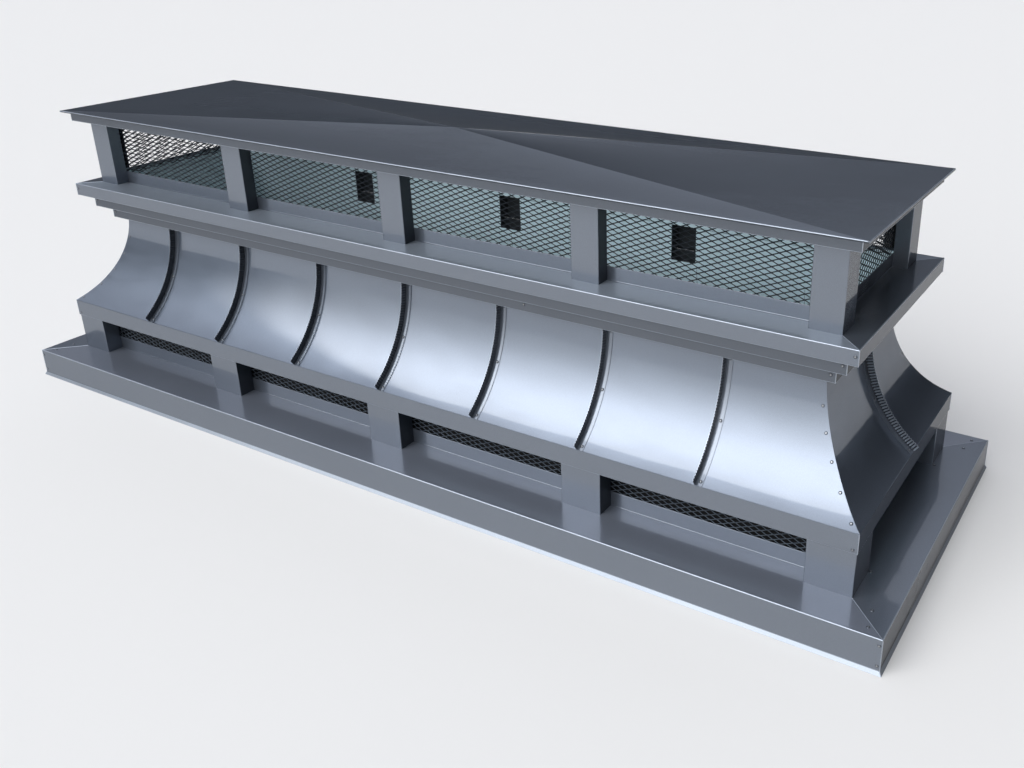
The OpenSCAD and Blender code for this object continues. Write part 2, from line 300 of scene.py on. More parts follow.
def coating_group():
    """Colour drift, handling marks and the slight waviness of thin coated sheet."""
    group = bpy.data.node_groups.new("coating", "ShaderNodeTree")
    for name, value in (("Tone A", (0.2, 0.2, 0.2, 1)), ("Tone B", (0.3, 0.3, 0.3, 1)),
                        ("Flake", 0.22), ("Roughness", 0.3), ("Marks", 0.05),
                        ("Waviness", 1.0), ("Peel", 1.0)):
        socket(group, name, value)
    for name, kind in (("Colour", "Color"), ("Roughness", "Float"), ("Height", "Float")):
        socket(group, name, None, "OUTPUT", kind)
    given = group.nodes.new("NodeGroupInput").outputs
    calc = calculator(group)
    at = place(group, "ShaderNodeTexCoord").outputs["Object"]

    def noise(scale, detail, stretch=None, **sockets):
        spot = at
        if stretch:
            spot = given_by(group, "ShaderNodeMapping", {"Vector": at, "Scale": stretch})
        return place(group, "ShaderNodeTexNoise", {
            "Vector": spot, "Scale": scale, "Detail": detail, **sockets}).outputs["Fac"]

    tone = between(group, noise(DRIFT_SCALE, 3.0), given["Tone A"], given["Tone B"])
    flakes = place(group, "ShaderNodeTexVoronoi", {"Vector": at, "Scale": FLAKE_SCALE})
    sparkle = given_by(group, "ShaderNodeSeparateColor", {"Color": flakes.outputs["Color"]})
    spread = given_by(group, "ShaderNodeMapRange",
                      {"Value": sparkle, "To Min": -0.5, "To Max": 0.5})
    flecked = given_by(group, "ShaderNodeVectorMath", {
        0: tone, "Scale": calc("MULTIPLY_ADD", spread, given["Flake"], 1.0)}, operation="SCALE")
    smears = noise(SMEAR_SCALE, 6.0, (2.0, 2.0, 7.0), Roughness=0.62, Distortion=0.6)
    patches = given_by(group, "ShaderNodeMapRange", {
        "Value": smears, "From Min": 0.42, "From Max": 0.72, "To Min": -0.25, "To Max": 1.0})
    rough = calc("MULTIPLY_ADD", patches, given["Marks"], given["Roughness"])
    swell = calc("MULTIPLY", noise(SWELL_SCALE, 1.0, (1.0, 1.6, 1.6)), given["Waviness"])
    peel = calc("MULTIPLY", noise(PEEL_SCALE, 1.0), given["Peel"])
    height = calc("MULTIPLY_ADD", peel, PEEL_HEIGHT, swell)
    place(group, "NodeGroupOutput", {"Colour": flecked, "Roughness": rough, "Height": height})
    return group


COATING = coating_group()


def coated(name, tones, metallic, roughness, coat, edge=1.0, **amounts):
    """A finish for coated sheet; amounts are inputs of the coating group."""
    finish, tree, shader = new_finish(name, {
        "Metallic": metallic, "Coat Weight": coat, "Coat Roughness": COAT_ROUGHNESS,
        "Coat IOR": COAT_IOR, "Specular Tint": (edge, edge, edge, 1)})
    skin = place(tree, "ShaderNodeGroup", node_tree=COATING)
    for key, value in {"Tone A": (*tones[0], 1), "Tone B": (*tones[1], 1),
                       "Roughness": roughness, **amounts}.items():
        skin.inputs[key].default_value = value
    relief = given_by(tree, "ShaderNodeBump", {
        "Height": skin.outputs["Height"], "Distance": MILLIMETRE, "Strength": 1.0})
    tree.links.new(skin.outputs["Colour"], shader.inputs["Base Color"])
    tree.links.new(skin.outputs["Roughness"], shader.inputs["Roughness"])
    tree.links.new(relief, shader.inputs["Normal"])
    return finish


slate_coat = coated("slate_coat", tones=((0.168, 0.191, 0.228), (0.186, 0.212, 0.253)),
                    metallic=0.72, roughness=0.30, coat=0.50, edge=0.05, Marks=0.03, Waviness=1.1)
# painted highlight: a lighter, glossier copy of the coat along outside bends, mitres, hems, rib
# edges and the eave, where light catches the sheet
painted_highlight_coat = coated("painted_highlight_coat", tones=((0.35, 0.39, 0.45), (0.44, 0.48, 0.54)), metallic=0.7,
                   roughness=0.30, coat=0.30, edge=0.5, Flake=0.30, Marks=0.10, Waviness=0.0)
back_coat = coated("back_coat", tones=((0.74, 0.87, 0.92), (0.66, 0.80, 0.86)), metallic=0.0,
                   roughness=0.40, coat=0.0, Flake=0.03, Marks=0.1, Waviness=0.9)
# painted shade: the inner faces of the posts and steps are coloured near black, where shade falls
# inside them
painted_shade_inside = coated("painted_shade_inside", tones=((0.020, 0.022, 0.024), (0.020, 0.022, 0.024)),
                      metallic=0.0, roughness=0.6, coat=0.0, Flake=0.1, Marks=0.1, Waviness=0.6)
# painted shade: the post returns, the standing legs of the ribs and the foot of the eave lip are
# coloured near black where they lie in shade
painted_shade_coat = coated("painted_shade_coat", tones=((0.026, 0.034, 0.045), (0.016, 0.022, 0.031)),
                    metallic=0.0, roughness=0.45, coat=0.22, edge=0.6, Waviness=0.5)
# painted light: a lighter copy of the coat on the pan's long flat tops, which face the light
painted_light_pan_top = coated("painted_light_pan_top", tones=((0.206, 0.226, 0.270), (0.236, 0.258, 0.306)),
                     metallic=0.52, roughness=0.30, coat=0.45, edge=0.05, Marks=0.06, Waviness=1.1)
PAINTED = [slate_coat, back_coat, painted_highlight_coat]


def half_length(side):
    """Half the length of a side's skirt."""
    return (BASE_LENGTH if side in LONG else BASE_WIDTH) / 2


def skirt_distance(side):
    """How far the skirt of a side stands from the centre."""
    return (BASE_WIDTH if side in LONG else BASE_LENGTH) / 2


def turned(side, x, y):
    """A place or direction at the front, turned round to a side."""
    for _ in range(SIDES.index(side)):
        x, y = -y, x
    return x, y


def on_side(side, along, inset, height):
    """A point from its distance along a side, its set-back and its height."""
    return (*turned(side, along, inset - skirt_distance(side)), height)


FLAT_KEPT = 0.0008
FLAT_SHARE = 0.8
ARC_STEP = 15


def bent_path(corners, radii):
    """Rounds the inner corners of a path with short arcs, with a flat kept each side."""
    path = [Vector(corners[0])]
    for before, corner, after, radius in zip(corners, corners[1:], corners[2:], radii):
        corner = Vector(corner)
        arms = [Vector(before) - corner, Vector(after) - corner]
        u, v = (arm.normalized() for arm in arms)
        half = u.angle(v) / 2
        reach = radius / math.tan(half)
        middle = corner + (u + v).normalized() * (radius / math.sin(half))
        start, end = corner + u * reach - middle, corner + v * reach - middle
        sweep = start.angle_signed(end)
        steps = max(2, round(abs(math.degrees(sweep)) / ARC_STEP))
        flats = [min(FLAT_KEPT, max(0, (arm.length / 2 - reach) * FLAT_SHARE)) for arm in arms]
        path.append(corner + u * (reach + flats[0]))
        for k in range(steps + 1):
            a = -sweep * k / steps
            path.append(middle + Vector((start.x * math.cos(a) - start.y * math.sin(a),
                                         start.x * math.sin(a) + start.y * math.cos(a))))
        path.append(corner + v * (reach + flats[1]))
    path.append(Vector(corners[-1]))
    return path


LEAST_MITRE = 0.3


def shifted(path, distance):
    """The path moved to its right by the sheet's thickness."""
    moved = []
    for k, point in enumerate(path):
        ahead = path[min(k + 1, len(path) - 1)] - point
        behind = point - path[max(k - 1, 0)]
        ahead = (ahead if ahead.length else behind).normalized()
        behind = (behind if behind.length else ahead).normalized()
        tangent = (ahead + behind).normalized()
        stretch = 1 / max(LEAST_MITRE, tangent.dot(ahead))
        moved.append(point + Vector((tangent.y, -tangent.x)) * distance * stretch)
    return moved


WIDE_FLAT = 0.05
BEND_STRETCH = 0.0009
LEAST_TURN = math.radians(20)


def flat_top(path, k):
    """Whether the k-th stretch of a path is its wide level top."""
    return k < len(path) - 1 and path[k + 1].x - path[k].x > WIDE_FLAT


def outside_bend(path, k):
    """Whether the k-th stretch of a path is part of a bend that the work shows outside."""
    if not 0 < k < len(path) - 2 or any(flat_top(path, j) for j in range(k)):
        return False
    before, here, after = path[k] - path[k - 1], path[k + 1] - path[k], path[k + 2] - path[k + 1]
    turn = before.normalized().angle_signed(after.normalized())
    return here.length < BEND_STRETCH and turn > LEAST_TURN


NO_LENGTH = 1e-6


def finish_piece(name, sheets, materials, nodes, sharp=32):
    """Makes the mesh, shades it, and gives it to the frame."""
    mesh = new_mesh(name, sheets.points, sheets.faces, materials)
    mesh.polygons.foreach_set("material_index", sheets.slots)
    # trimming leaves some faces with no area, which are closed up here
    trimmed = bmesh.new()
    trimmed.from_mesh(mesh)
    bmesh.ops.dissolve_degenerate(trimmed, dist=NO_LENGTH, edges=trimmed.edges)
    trimmed.to_mesh(mesh)
    trimmed.free()
    mesh.shade_smooth()
    mesh.set_sharp_from_angle(angle=math.radians(sharp))
    mesh.validate()
    piece = set_up(name, mesh)
    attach(piece, "root")
    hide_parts(*nodes)


ROLL_SIDES = 8
ROLL_START = Vector((0.31, 0.62, 0.72))
MITRE_RADIUS = 0.0010
MITRE_SINK = 0.0003


class Sheets:
    """Points and faces of the sheets that make up one piece."""

    def __init__(self):
        self.points, self.faces, self.slots = [], [], []

    def add(self, points, faces, slots):
        base = len(self.points)
        self.points += points
        self.faces += [tuple(base + k for k in face) for face in faces]
        self.slots += slots

    def drawn(self, points, slots):
        """A sheet drawn from one ring of points to another, with the slots round the ring."""
        m = len(slots)
        faces = [(k, k + m, (k + 1) % m + m, (k + 1) % m) for k in range(m)]
        for a in range(m // 2 - 1):
            b = m - 1 - a
            faces += [(a, a + 1, b - 1, b), (m + a, m + b, m + b - 1, m + a + 1)]
        self.add(points, faces, slots + [FACE] * (m - 2))

    def strip(self, side, path, thickness=SHEET, top=FACE, hem=FACE):
        """A formed strip along a side, mitred at both ends, with the slots of its top and hem."""
        ring = path + shifted(path, thickness)[::-1]
        n, m = len(path), len(ring)
        self.drawn([on_side(side, end * (half_length(side) - p.x), p.x, p.y)
                    for end in (-1, 1) for p in ring],
                   [BACK if n <= k < m - 1 else EDGE if outside_bend(path, k)
                    else top if flat_top(path, k) else hem if k == 0 else FACE
                    for k in range(m)])

    def skin(self, points, columns, slot_of, turned_over=False):
        """Two layers of rows of points, joined round their rim; slot_of gives a row's slot."""
        layer = len(points) // 2
        rows = layer // columns
        faces, slots = [], []
        for i in range(rows - 1):
            for a in range(i * columns, (i + 1) * columns - 1):
                b = a + columns
                faces += [(a, b, b + 1, a + 1),
                          (layer + a, layer + a + 1, layer + b + 1, layer + b)]
                slots += [slot_of(i), BACK]
        rim = list(range(columns)) + [i * columns - 1 for i in range(2, rows + 1)]
        rim += [layer - 1 - k for k in range(1, columns)]
        rim += [i * columns for i in range(rows - 2, 0, -1)]
        faces += [(a, b, layer + b, layer + a) for a, b in zip(rim, rim[1:] + rim[:1])]
        if turned_over:
            faces = [face[:1] + face[:0:-1] for face in faces]
        self.add(points, faces, slots + [FACE] * len(rim))

    def roll(self, line, radius, slot=FACE):
        """A rounded edge along a line of points."""
        points, faces = [], []
        for k, point in enumerate(line):
            tangent = Vector(line[min(k + 1, len(line) - 1)]) - Vector(line[max(k - 1, 0)])
            tangent.normalize()
            side_way = tangent.cross(ROLL_START).normalized()
            up_way = tangent.cross(side_way)
            for s in range(ROLL_SIDES):
                a = 2 * math.pi * s / ROLL_SIDES
                points.append(tuple(Vector(point) + (side_way * math.cos(a)
                                                     + up_way * math.sin(a)) * radius))
        last = (len(line) - 1) * ROLL_SIDES
        for k in range(0, last, ROLL_SIDES):
            for s in range(ROLL_SIDES):
                a, b = k + s, k + (s + 1) % ROLL_SIDES
                faces.append((a, b, b + ROLL_SIDES, a + ROLL_SIDES))
        faces.append(tuple(reversed(range(ROLL_SIDES))))
        faces.append(tuple(last + s for s in range(ROLL_SIDES)))
        self.add(points, faces, [slot] * len(faces))

    def corner_rolls(self, side, path):
        """Rounded mitre edges at both ends of a side, in the painted highlight."""
        inner = shifted(path, MITRE_SINK)
        half = half_length(side)
        for end in (-1, 1):
            self.roll([on_side(side, end * (half - p.x), p.x, p.y) for p in inner],
                      MITRE_RADIUS, EDGE)


pan_path = bent_path([(-HEM_OUT, PAN_FOOT), (-SKIRT_LEAN, HEM_TOP), (0.0, PAN_TOP),
                      (LOWER_CURB_IN, PAN_TOP), (LOWER_CURB_IN, LOWER_CURB_TOP),
                      (LOWER_CURB_IN + CURB_FOLD, LOWER_CURB_TOP),
                      (LOWER_CURB_IN + CURB_FOLD, LOWER_CURB_TOP - CURB_HEM)],
                     [HEM_BEND, BEND, BEND, CURB_FOLD_BEND, CURB_FOLD_BEND])
# the mitre's rounded edge starts a little above the hem's foot
pan_mitre = [Vector((PAN_MITRE_FOOT[0] - HEM_OUT, PAN_MITRE_FOOT[1]))] + pan_path[1:]
for side in SIDES:
    pan = Sheets()
    if side in LONG:
        # the long pans take the painted light on their flat tops and the painted highlight on
        # their hems
        pan.strip(side, pan_path, top=EXTRA, hem=EDGE)
        pan.corner_rolls(side, pan_mitre)
    else:
        pan.strip(side, pan_path)
    finish_piece("base_pan_sheet_" + side, pan, PAINTED + [painted_light_pan_top], ["base_pan_" + side])

# Lower posts: short channels that stand on the pan in front of the curb,
# three on each long side, and an L-shaped cover at each corner. They are
# pop-riveted to the curb and to the fascia above.
LOWER_POST_IN = 0.0947
LOWER_POST_WIDTH = 0.108
LOWER_POST_DEPTH = 0.048
LOWER_POST_TOP = 0.241
LOWER_PITCH = (BASE_LENGTH - 2 * LOWER_POST_IN - LOWER_POST_WIDTH) / 4
POST_SHEET = 0.001
POST_BEND = BEND * 0.8
# the slot of a post's returns, which take the painted shade
RETURN = 2


def upright(sheets, outline, z0, z1, returns=FACE):
    """A folded post: its plan outline, rounded, is drawn up from z0 to z1."""
    ring = outline + shifted(outline, POST_SHEET)[::-1]
    n, m = len(outline), len(ring)
    slots = [BACK if n <= k < m - 1 else FACE for k in range(m)]
    slots[0] = slots[n - 2] = returns
    sheets.drawn([(p.x, p.y, z) for z in (z0, z1) for p in ring], slots)


def outward(outline, centre):
    """Turns the outline so that its sheet lies on the inner side."""
    k = len(outline) // 2
    tangent = outline[k + 1] - outline[k - 1]
    right = Vector((tangent.y, -tangent.x))
    return outline if right.dot(Vector(centre) - outline[k]) > 0 else outline[::-1]


def middle_posts(name, side, pitch, inset, width, depth, z0, z1, node):
    """Channels on a long side, open to the inside."""
    posts = Sheets()
    for k in (-1, 0, 1):
        plan = bent_path([on_side(side, k * pitch + x, inset + y, 0)[:2]
                          for x, y in ((-width / 2, depth), (-width / 2, 0),
                                       (width / 2, 0), (width / 2, depth))], [POST_BEND] * 2)
        centre = on_side(side, k * pitch, inset + depth, 0)[:2]
        upright(posts, outward(plan, centre), z0, z1, returns=RETURN)
    finish_piece(name, posts, [slate_coat, painted_shade_inside, painted_shade_coat], [node])


def corner_posts(name, inset, width, depth, z0, z1, node):
    """L-shaped covers; mx and my pick the corner."""
    posts = Sheets()
    for mx in (-1, 1):
        for my in (-1, 1):
            def corner(x, y):
                return (mx * (BASE_LENGTH / 2 - inset - x), my * (BASE_WIDTH / 2 - inset - y))
            plan = [corner(*spot) for spot in ((width, depth), (width, 0), (0, 0), (0, width),
                                               (depth, width))]
            plan = bent_path(plan[::-1] if mx * my > 0 else plan, [POST_BEND] * 3)
            upright(posts, outward(plan, corner(width, width)), z0, z1)
    finish_piece(name, posts, [slate_coat, painted_shade_inside], [node])


LOWER_POST = (LOWER_POST_IN, LOWER_POST_WIDTH, LOWER_POST_DEPTH, PAN_TOP, LOWER_POST_TOP)
corner_posts("lower_corner_covers", *LOWER_POST, "lower_corner_posts")
for side in LONG:
    middle_posts("lower_channels_" + side, side, LOWER_PITCH, *LOWER_POST, "lower_posts_" + side)

# Screens: raised half-inch expanded steel, black coated. A sheet is slit and
# stretched, so it is rows of zigzag strands joined at slanted knuckles. The
# lower screens stand behind the pan's curb.
DIAMOND_LONG = 0.0305
DIAMOND_SHORT = 0.0130
STRAND_WIDTH = 0.0025
STRAND_THICK = 0.0013
KNUCKLE = 0.0037
SLANT = -38
LOWER_SCREEN_IN = 0.1470
LOWER_SCREEN_Z = (0.087, 0.240)
LOWER_SCREEN_REACH = (1.215, 0.30)

screen_coat = coated("screen_coat", tones=((0.015, 0.020, 0.026), (0.026, 0.031, 0.038)),
                     metallic=0.2, roughness=0.42, coat=0.0, Flake=0.1, Marks=0.12, Waviness=0.0,
                     Peel=2.0)
# painted light: the upper, outward faces of the lower strands take a lighter coat, as where light
# falls on them
painted_light_strand_top = coated("painted_light_strand_top", tones=((0.100, 0.125, 0.155), (0.150, 0.182, 0.225)),
                      metallic=0.4, roughness=0.45, coat=0.0, Flake=0.3, Marks=0.12, Waviness=0.0,
                      Peel=2.0)


def geometry_tree(name, sizes, whole=()):
    """An empty Geometry Nodes tree with named inputs; returns it and its input sockets."""
    tree = bpy.data.node_groups.new(name, "GeometryNodeTree")
    socket(tree, "Geometry", None, kind="Geometry")
    for label, value in sizes.items():
        socket(tree, label, value, kind="Int" if label in whole else "Float")
    socket(tree, "Geometry", None, "OUTPUT", "Geometry")
    return tree, tree.nodes.new("NodeGroupInput").outputs


def point_at(tree, **parts):
    """A point from its X, Y and Z."""
    return given_by(tree, "ShaderNodeCombineXYZ", parts)


def place_of(tree):
    """The x, y and z of the points that a tree works on."""
    return place(tree, "ShaderNodeSeparateXYZ",
                 {"Vector": given_by(tree, "GeometryNodeInputPosition")}).outputs


def close_tree(tree, instances, material=None):
    """Ends a tree in Realize Instances and Set Material."""
    geo = maker(tree, "GeometryNode")
    real = geo("RealizeInstances", {"Geometry": instances})
    if material:
        real = geo("SetMaterial", {"Geometry": real, "Material": material})
    place(tree, "NodeGroupOutput", {"Geometry": real})


def grown(name, tree, values, points=None, facing=None, solid=None):
    """The plain mesh that a tree grows from some points with some input values."""
    seed = bpy.data.meshes.new(name)
    seed.from_pydata(points or [(0, 0, 0)], [], [])
    if facing:
        attribute = seed.attributes.new("facing", "FLOAT_VECTOR", "POINT")
        attribute.data.foreach_set("vector", [v for vector in facing for v in vector])
    holder = set_up(name, seed)
    modifier = holder.modifiers.new("grow", "NODES")
    modifier.node_group = tree
    for item in tree.interface.items_tree:
        if item.in_out == "INPUT" and item.name in values:
            modifier[item.identifier] = values[item.name]
    if solid:
        thick = holder.modifiers.new("thick", "SOLIDIFY")
        thick.thickness = solid
        thick.offset = 0
        thick.use_even_offset = True
    evaluated = holder.evaluated_get(bpy.context.evaluated_depsgraph_get())
    mesh = bpy.data.meshes.new_from_object(evaluated)
    holder.modifiers.clear()
    bpy.data.objects.remove(holder)
    return mesh


def expanded_metal():
    """Zigzag strands, row on row; each row is moved half a diamond from the last."""
    tree, given = geometry_tree("expanded_metal", {
        "Columns": 10, "Rows": 10, "Diamond Long": DIAMOND_LONG, "Diamond Short": DIAMOND_SHORT,
        "Strand Width": STRAND_WIDTH, "Strand Thick": STRAND_THICK, "Knuckle": KNUCKLE,
        "Slant": math.radians(SLANT)}, whole=("Columns", "Rows"))
    geo, calc = maker(tree, "GeometryNode"), calculator(tree)
    half_long = calc("MULTIPLY", given["Diamond Long"], 0.5)
    half_short = calc("MULTIPLY", given["Diamond Short"], 0.5)
    # a strand has six points: two at its foot, two at its peak and two at its next foot
    index = geo("InputIndex")
    pair = calc("FLOOR", calc("DIVIDE", index, 2.0))
    end = calc("SUBTRACT", calc("MODULO", index, 2.0), 0.5)
    from_peak = calc("SUBTRACT", pair, 1.0)
    along = calc("MULTIPLY_ADD", end, given["Knuckle"], calc("MULTIPLY", from_peak, half_long))
    along = calc("MAXIMUM", calc("MINIMUM", along, half_long), calc("MULTIPLY", half_long, -1.0))
    peak = calc("SUBTRACT", 1.0, calc("ABSOLUTE", from_peak))
    lean_up = calc("MULTIPLY", given["Strand Width"], calc("COSINE", given["Slant"]))
    lean_out = calc("MULTIPLY", given["Strand Width"], calc("SINE", given["Slant"]))
    rise = calc("SUBTRACT", half_short, lean_up)
    up = calc("MULTIPLY", calc("SUBTRACT", peak, 0.5), rise)
    out = calc("MULTIPLY", calc("SUBTRACT", peak, 0.5), lean_out)
    wire = geo("MeshLine", {"Count": 6})
    wire = geo("SetPosition", {"Geometry": wire, "Position": point_at(tree, X=along, Y=out, Z=up)})
    wire = geo("MeshToCurve", {"Mesh": wire})
    wire = geo("SetCurveNormal", {"Curve": wire}, mode="Z_UP")
    wire = geo("SetCurveTilt", {"Curve": wire, "Tilt": given["Slant"]})
    section = geo("CurvePrimitiveQuadrilateral",
                  {"Width": given["Strand Thick"], "Height": given["Strand Width"]})
    strand = geo("CurveToMesh", {"Curve": wire, "Profile Curve": section, "Fill Caps": True})
    last_row = calc("SUBTRACT", given["Rows"], 1.0)
    spots = geo("MeshGrid", {
        "Vertices X": given["Columns"], "Vertices Y": given["Rows"], "Size Y": last_row,
        "Size X": calc("MULTIPLY", given["Diamond Long"],
                       calc("SUBTRACT", given["Columns"], 1.0))})
    where = place_of(tree)
    row = calc("ROUND", calc("MULTIPLY_ADD", last_row, 0.5, where["Y"]))
    offset = calc("MULTIPLY", half_long, calc("SUBTRACT", calc("MODULO", row, 2.0), 0.5))
    spot = point_at(tree, X=calc("ADD", where["X"], offset),
                    Z=calc("MULTIPLY", half_short, where["Y"]))
    spots = geo("SetPosition", {"Geometry": spots, "Position": spot})
    rows = geo("InstanceOnPoints", {"Points": spots, "Instance": strand})
    close_tree(tree, rows, screen_coat)
    return tree


MESH_TREE = expanded_metal()
# how far a strand's face must turn outwards and upwards to take the painted light
LIT_TOP_SLOPE = (0.1, 0.3)


def stretched_screen(name, sides, reach, inset, span, nodes, lit_top=1):
    """Expanded metal across one or more sides; reach is half its length."""
    sheets = Sheets()
    z0, z1 = span
    for side in sides:
        sheet = grown(name, MESH_TREE, {"Columns": int(2 * reach / DIAMOND_LONG),
                                        "Rows": int(2 * (z1 - z0) / DIAMOND_SHORT)})
        points = [on_side(side, v.co.x, inset - v.co.y, (z0 + z1) / 2 + v.co.z)
                  for v in sheet.vertices]
        # the turn into place mirrors the sheet, so its faces are turned over
        faces = [tuple(reversed(p.vertices)) for p in sheet.polygons]
        slots = [lit_top if p.normal.y > LIT_TOP_SLOPE[0] and p.normal.z > LIT_TOP_SLOPE[1]
                 else 0 for p in sheet.polygons]
        sheets.add(points, faces, slots)
    finish_piece(name, sheets, [screen_coat, painted_light_strand_top], nodes, sharp=20)


for side in LONG:
    stretched_screen("lower_mesh_" + side, [side], LOWER_SCREEN_REACH[0], LOWER_SCREEN_IN,
                     LOWER_SCREEN_Z, ["lower_screen_" + side])
stretched_screen("lower_mesh_ends", SHORT, LOWER_SCREEN_REACH[1], LOWER_SCREEN_IN,
                 LOWER_SCREEN_Z, ["lower_screens_ends"])

# Skirt fascia: a band of the same sheet round the tops of the lower posts. Its
# foot is hemmed and its top edge is bent in under the flared panels.
FASCIA_IN = 0.0929
FASCIA_FOOT = 0.194
FASCIA_FOLD = 0.0016
FASCIA_HEM = 0.009
FASCIA_SHEET = 0.0006
FOLD_BEND = 0.0007
FLARE_FOOT = 0.243
FLARE_HEAD = 0.503
FLARE_RADIUS = 0.337
FLARE_CENTRE_IN = -0.1038
FLARE_CENTRE_Z = 0.5166
TUCK_ANGLE = 0.045
TUCK_DEPTH = 0.0012


def flare_point(angle, radius):
    """Set-back and height on the hollow curve; the angle is down from level."""
    return (FLARE_CENTRE_IN + radius * math.cos(angle), FLARE_CENTRE_Z - radius * math.sin(angle))


FOOT_ANGLE = math.atan2(FLARE_CENTRE_Z - FLARE_FOOT, FASCIA_IN - FLARE_CENTRE_IN)
HEAD_ANGLE = math.asin((FLARE_CENTRE_Z - FLARE_HEAD) / FLARE_RADIUS)

fascia_path = bent_path([(FASCIA_IN + FASCIA_FOLD, FASCIA_FOOT + FASCIA_HEM),
                         (FASCIA_IN + FASCIA_FOLD, FASCIA_FOOT), (FASCIA_IN, FASCIA_FOOT),
                         (FASCIA_IN, FLARE_FOOT),
                         flare_point(FOOT_ANGLE - TUCK_ANGLE, FLARE_RADIUS + TUCK_DEPTH)],
                        [FOLD_BEND, FOLD_BEND, BEND])
for side in SIDES:
    band = Sheets()
    band.strip(side, fascia_path, thickness=FASCIA_SHEET)
    if side in LONG:
        band.corner_rolls(side, fascia_path[len(fascia_path) // 3:])
    finish_piece("fascia_band_" + side, band, PAINTED, ["skirt_fascia_" + side])

# Flared roof: rolled panels, eight on a long side and two on a short side,
# butted at the seams. Each is a little crowned between its seams, as thin
# sheet is when it is sprung to a curve, and the hips are closed by rivets.
PANEL_WIDTH = 0.3048
PANEL_GAP = 0.0005
END_SEAM = 0.009
CROWN = 0.0009
FLARE_STEPS = 44
PANEL_STEPS = 10
HIP_DEPTH = 0.0006
HIP_RADIUS = 0.0009
FOOT_DEPTH = 0.0004
FOOT_RADIUS = 0.0010

# rolling leaves the thin panels a little more uneven than the folded sheet
rolled_coat = coated("rolled_coat", tones=((0.163, 0.190, 0.234), (0.181, 0.211, 0.260)),
                     metallic=0.75, roughness=0.29, coat=0.50, edge=0.05, Waviness=2.2)


def flare_angle(share):
    """The angle at a share of the way from the head of the curve to its foot."""
    return HEAD_ANGLE + (FOOT_ANGLE - HEAD_ANGLE) * share


def flare_panel(sheets, side, x0, x1):
    """One rolled panel from x0 to x1, trimmed by the mitres at the corners."""
    points = []
    for depth in (0.0, SHEET):
        for i in range(FLARE_STEPS + 1):
            fall = math.sin(math.pi * i / FLARE_STEPS)
            for k in range(PANEL_STEPS + 1):
                u = 2 * k / PANEL_STEPS - 1
                crown = CROWN * (1 - u * u) * fall
                inset, z = flare_point(flare_angle(i / FLARE_STEPS), FLARE_RADIUS + depth - crown)
                limit = half_length(side) - inset
                x = x0 + (x1 - x0) * k / PANEL_STEPS
                points.append(on_side(side, max(-limit, min(limit, x)), inset, z))
    sheets.skin(points, PANEL_STEPS + 1, lambda row: FACE)


def hip_line(side, end):
    """The corner where the flared panels of two sides meet."""
    line = []
    for i in range(FLARE_STEPS + 1):
        inset, z = flare_point(flare_angle(i / FLARE_STEPS), FLARE_RADIUS + HIP_DEPTH)
        line.append(on_side(side, end * (half_length(side) - inset), inset, z))
    return line


foot_inset, foot_z = flare_point(FOOT_ANGLE, FLARE_RADIUS + FOOT_DEPTH)
for side in SIDES:
    panels = Sheets()
    reach = half_length(side) - FASCIA_IN
    seams = [k * PANEL_WIDTH for k in range(-3, 4)] if side in LONG else [END_SEAM]
    for left, right in zip([-reach] + seams, seams + [reach]):
        flare_panel(panels, side, left + PANEL_GAP, right - PANEL_GAP)
    panels.roll([on_side(side, end * reach, foot_inset, foot_z) for end in (-1, 1)], FOOT_RADIUS)
    if side in LONG:
        for end in (-1, 1):
            panels.roll(hip_line(side, end), HIP_RADIUS)
    finish_piece("rolled_panels_" + side, panels, [rolled_coat, back_coat, painted_highlight_coat],
                 ["flared_panels_" + side])

# Seam ribs: angles bent to the hollow curve over the panel seams. The standing
# leg is crimped to shorten it, deepest at its free edge, and the flange, which
# has a small joggle along it, is riveted through both panels.
RIB_HEIGHT = 0.019
RIB_FLANGE = 0.016625
RIB_SHEET = 0.0009
RIB_LEAD = 0.006
RIB_STEPS = (341, 16)
FLANGE_STAND = 0.0014
JOGGLE = 0.0006
JOGGLE_AT = 0.0105
JOGGLE_RUN = 0.0022
CRIMPS = 42.5
CRIMP_DEPTH = 0.0009
END_CRIMP_DEPTH = 0.0017
CRIMP_SQUARENESS = 1.9
CRIMP_SPREAD = 0.45
FREE_EDGE = 0.0003
FOLD_REACH = 0.0022
RIDGE_SHARE = 0.25

# painted light and shade: a mid-dark copy of the slate coat, lighter than the painted shade on the
# outer crests of the crimped legs, and darker than the slate on the rivet domes
painted_half_shade_coat = coated("painted_half_shade_coat", tones=((0.080, 0.091, 0.108), (0.110, 0.125, 0.146)),
                    metallic=0.5, roughness=0.35, coat=0.30, edge=0.3, Waviness=0.5)


